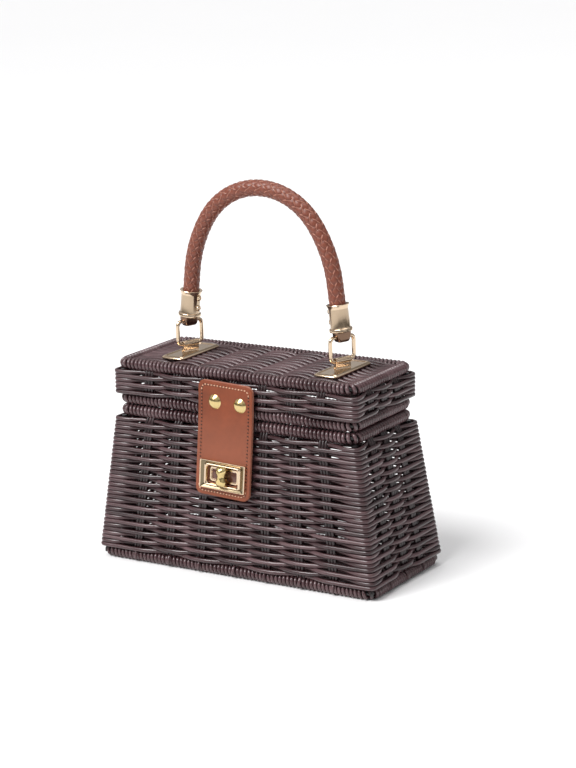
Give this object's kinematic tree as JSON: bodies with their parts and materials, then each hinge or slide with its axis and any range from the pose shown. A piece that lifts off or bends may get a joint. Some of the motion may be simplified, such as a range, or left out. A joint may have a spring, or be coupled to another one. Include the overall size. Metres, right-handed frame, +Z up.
{
  "type": "basket box bag",
  "caption": "Small woven cane box bag with tapered body, hinged lid, leather closing tab with turn lock, and braided leather top handle on wire rings.",
  "frame": {"origin": "middle of the underside, on the surface the bag stands on", "axes": "+Z up, +X to the bag's right as seen from the front, and the closing tab and lock face -Y"},
  "size_m": [0.2178, 0.1002, 0.26],
  "materials": {
    "cane": "dyed dark brown cane strand, satin",
    "wire": "black lacquered wire",
    "leather": "tan leather, stitched",
    "braid": "braided tan leather",
    "cord": "twisted cotton cord core",
    "gold": "pale gold plated, polished",
    "dark_gold": "dark bronze plated",
    "lock_base": "brown lacquered plate"
  },
  "bodies": {
    "basket": {"base_rim_wire": "wire", "base_rim_wrap": "cane", "mouth_rim_wire": "wire", "mouth_rim_wrap": "cane", "corner_posts": "wire", "body_weave": "cane", "floor_weave": "cane", "lock_base": "lock_base", "lock_backing": "gold", "lock_screws": "gold"},
    "toggle": {"lock_toggle": "gold", "toggle_washer": "gold"},
    "lid": {"closure_tab": "leather", "hinge_loop_left": "cane", "hinge_loop_right": "cane", "left_backing_plate": "gold", "left_plate_screws": "gold", "left_ring_plate": "gold", "left_ring_tongue": "gold", "lid_corner_posts": "wire", "lid_rim_wire": "wire", "lid_rim_wrap": "cane", "lid_side_weave": "cane", "lid_top_rim_wire": "wire", "lid_top_rim_wrap": "cane", "lid_top_weave": "cane", "lock_window_backing": "gold", "lock_window_plate": "gold", "right_backing_plate": "gold", "right_plate_screws": "gold", "right_ring_plate": "gold", "right_ring_tongue": "gold", "tab_rivet_caps": "gold", "tab_rivets": "gold"},
    "left_ring": {"left_ring": "gold"},
    "right_ring": {"right_ring": "gold"},
    "handle": {"handle_core": "cord", "handle_braid": "braid", "left_ferrule": "gold", "right_ferrule": "gold", "left_ferrule_screws": "gold", "right_ferrule_screws": "gold", "left_lug": "dark_gold", "right_lug": "dark_gold"}
  },
  "joints": [
    {"name": "lid_open", "type": "hinge", "parent": "basket", "child": "lid", "pos_m": [0, 0.03475, 0.1035], "axis": [-1, 0, 0], "range_deg": [0, 100]},
    {"name": "toggle_turn", "type": "hinge", "parent": "basket", "child": "toggle", "pos_m": [-0.00382, -0.04311, 0.07002], "axis": [0.0031, -0.9975, 0.0701], "range_deg": [0, 90]},
    {"name": "left_ring_swing", "type": "hinge", "parent": "lid", "child": "left_ring", "pos_m": [-0.05508, -0.004, 0.146], "axis": [0.342, 0.9397, 0], "range_deg": [-75, 75]},
    {"name": "right_ring_swing", "type": "hinge", "parent": "lid", "child": "right_ring", "pos_m": [0.06368, -0.004, 0.146], "axis": [0.342, 0.9397, 0], "range_deg": [-75, 75]},
    {"name": "handle_level", "type": "hinge", "parent": "left_ring", "child": "handle", "pos_m": [-0.05508, -0.004, 0.1615], "axis": [0.342, 0.9397, 0], "range_deg": [-75, 75]}
  ],
  "couplings": [
    {"joint": "right_ring_swing", "follows": "left_ring_swing", "ratio": 1},
    {"joint": "handle_level", "follows": "left_ring_swing", "ratio": -1}
  ]
}
